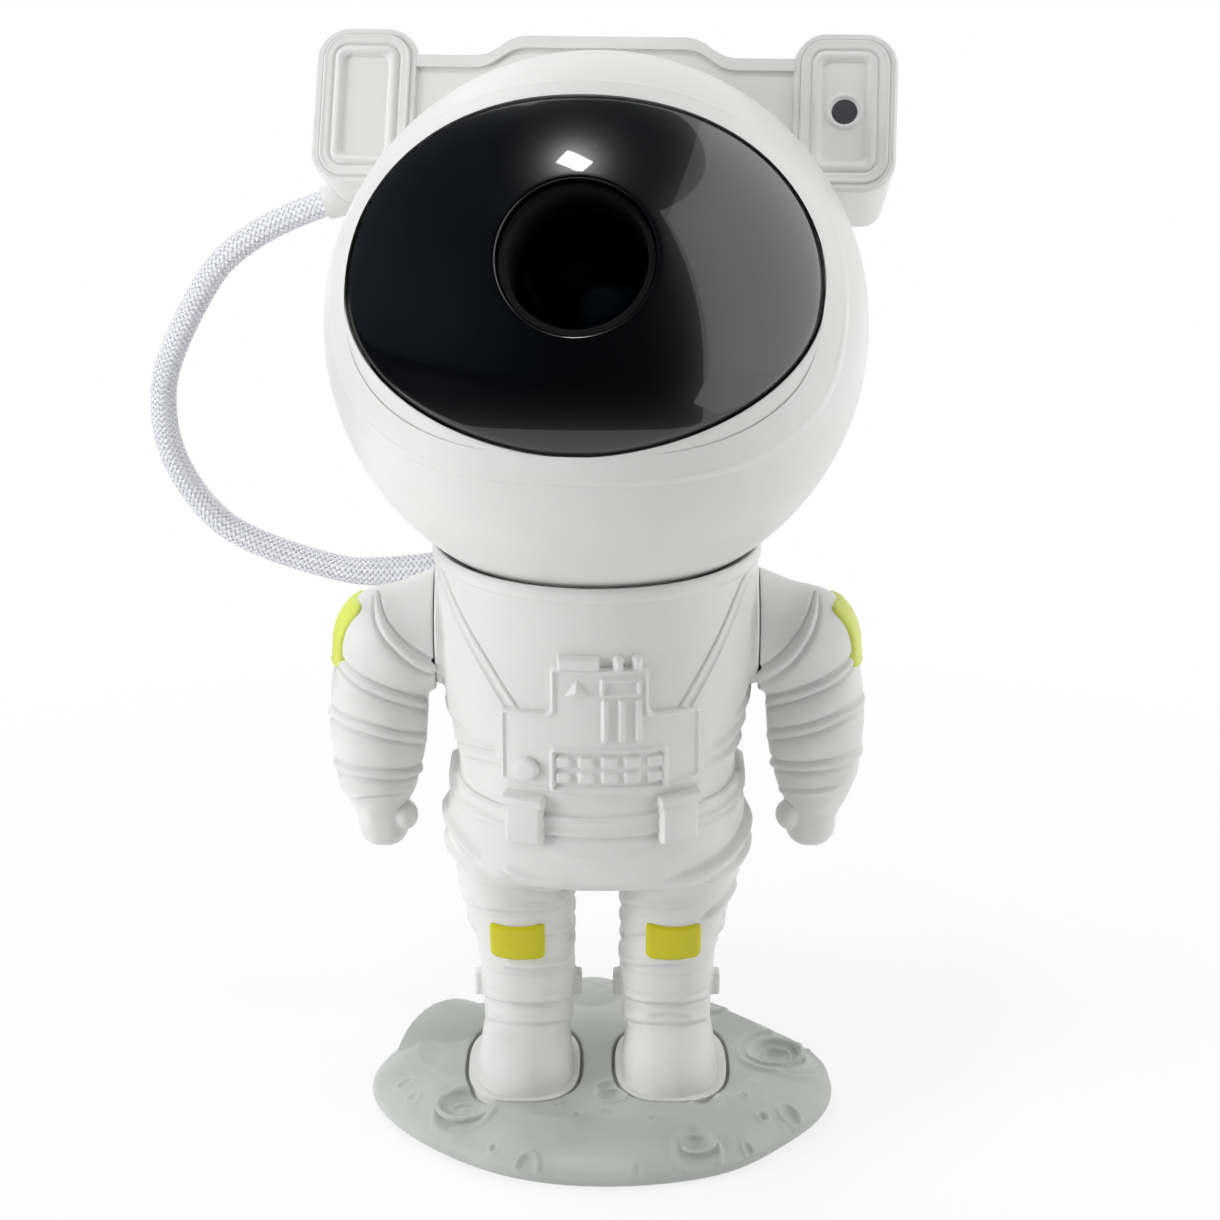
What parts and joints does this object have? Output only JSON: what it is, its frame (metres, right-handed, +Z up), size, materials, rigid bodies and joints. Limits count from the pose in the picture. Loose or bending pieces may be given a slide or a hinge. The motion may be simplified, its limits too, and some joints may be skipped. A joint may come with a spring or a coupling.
{
  "type": "star projector",
  "caption": "Tabletop star projector in the shape of a standing astronaut on a round moon base, with a ball-jointed helmet, swinging arms, back buttons and a bent air hose.",
  "frame": {"origin": "centre of the foot pads' underside, below the neck", "axes": "+Z up, -Y the way the figure faces, +X to the right of someone who looks at its face; left and right in the names are that person's"},
  "size_m": [0.1502, 0.1086, 0.2206],
  "materials": {
    "suit_white": "satin",
    "moon_grey": "matt",
    "patch_yellow": "satin",
    "visor_black": "gloss",
    "inner_black": "matt",
    "lens_clear": "polished",
    "disc_blue": "gloss",
    "board_green": "satin",
    "metal_bright": "satin",
    "steel": "satin",
    "brass": "satin",
    "pad_rubber": "matt",
    "ring_plastic": "satin",
    "hose_braid": "matt"
  },
  "bodies": {
    "base_and_figure": {"moon_base": "moon_grey", "base_cover": "moon_grey", "base_weight": "steel", "base_screws": "steel", "base_pads": "pad_rubber", "boot_sole_left": "suit_white", "boot_sole_right": "suit_white", "suit_front": "suit_white", "suit_back": "suit_white", "suit_screws": "steel", "knee_patch_left": "patch_yellow", "knee_patch_right": "patch_yellow", "neck_cup": "ring_plastic", "seat_ring": "ring_plastic", "backpack_shell": "suit_white", "backpack_plate": "inner_black", "control_board": "board_green", "usb_inlet": "steel", "hose_gland_lower": "suit_white", "hose_lower": "hose_braid"},
    "neck_swivel": {"neck_magnet": "steel", "hose_middle": "hose_braid"},
    "neck_cradle": {"keeper_dish": "steel", "hose_upper": "hose_braid"},
    "head": {"helmet_front": "suit_white", "helmet_back": "suit_white", "visor": "visor_black", "ear_box_left": "suit_white", "ear_box_right": "suit_white", "ear_panel_left": "suit_white", "ear_panel_right": "suit_white", "top_band": "suit_white", "lens_tube": "inner_black", "front_lens": "lens_clear", "optics_frame": "inner_black", "disc_motor": "steel", "condenser_lens": "lens_clear", "led_board": "board_green", "heat_sink": "metal_bright", "star_laser": "brass", "laser_window": "lens_clear", "frame_screws": "steel", "hose_gland_upper": "suit_white"},
    "arm_left": {"arm_left": "suit_white", "shoulder_patch_left": "patch_yellow", "shoulder_pivot_left": "steel"},
    "arm_right": {"arm_right": "suit_white", "shoulder_patch_right": "patch_yellow", "shoulder_pivot_right": "steel"},
    "button_power": {"button_power": "suit_white"},
    "button_stars": {"button_stars": "suit_white"},
    "button_nebula": {"button_nebula": "suit_white"},
    "nebula_disc": {"nebula_disc": "disc_blue"}
  },
  "joints": [
    {"name": "head_yaw", "type": "hinge", "parent": "base_and_figure", "child": "neck_swivel", "pos_m": [0, 0, 0.1671], "axis": [0, 0, 1], "range_deg": [-40, 40], "deforming": ["hose_lower"]},
    {"name": "head_pitch", "type": "hinge", "parent": "neck_swivel", "child": "neck_cradle", "pos_m": [0, 0, 0.1671], "axis": [-0.9962, 0.0872, 0], "range_deg": [-25, 30], "deforming": ["hose_middle"]},
    {"name": "head_roll", "type": "hinge", "parent": "neck_cradle", "child": "head", "pos_m": [0, 0, 0.1671], "axis": [-0.077, -0.8796, 0.4695], "range_deg": [-10, 10], "deforming": ["hose_upper"]},
    {"name": "arm_left_swing", "type": "hinge", "parent": "base_and_figure", "child": "arm_left", "pos_m": [-0.0321, 0, 0.108], "axis": [-1, 0, 0], "range_deg": [-30, 100]},
    {"name": "arm_right_swing", "type": "hinge", "parent": "base_and_figure", "child": "arm_right", "pos_m": [0.0321, 0, 0.108], "axis": [-1, 0, 0], "range_deg": [-30, 100]},
    {"name": "disc_turn", "type": "hinge", "parent": "head", "child": "nebula_disc", "pos_m": [0.01254, -0.01726, 0.17453], "axis": [-0.077, -0.8796, 0.4695], "continuous": true},
    {"name": "button_power_press", "type": "slide", "parent": "base_and_figure", "child": "button_power", "axis": [0, -1, 0], "range_m": [0, 0.001], "stiffness_N_per_m": 300, "springref_m": -0.003},
    {"name": "button_stars_press", "type": "slide", "parent": "base_and_figure", "child": "button_stars", "axis": [0, -1, 0], "range_m": [0, 0.001], "stiffness_N_per_m": 300, "springref_m": -0.003},
    {"name": "button_nebula_press", "type": "slide", "parent": "base_and_figure", "child": "button_nebula", "axis": [0, -1, 0], "range_m": [0, 0.001], "stiffness_N_per_m": 300, "springref_m": -0.003}
  ]
}
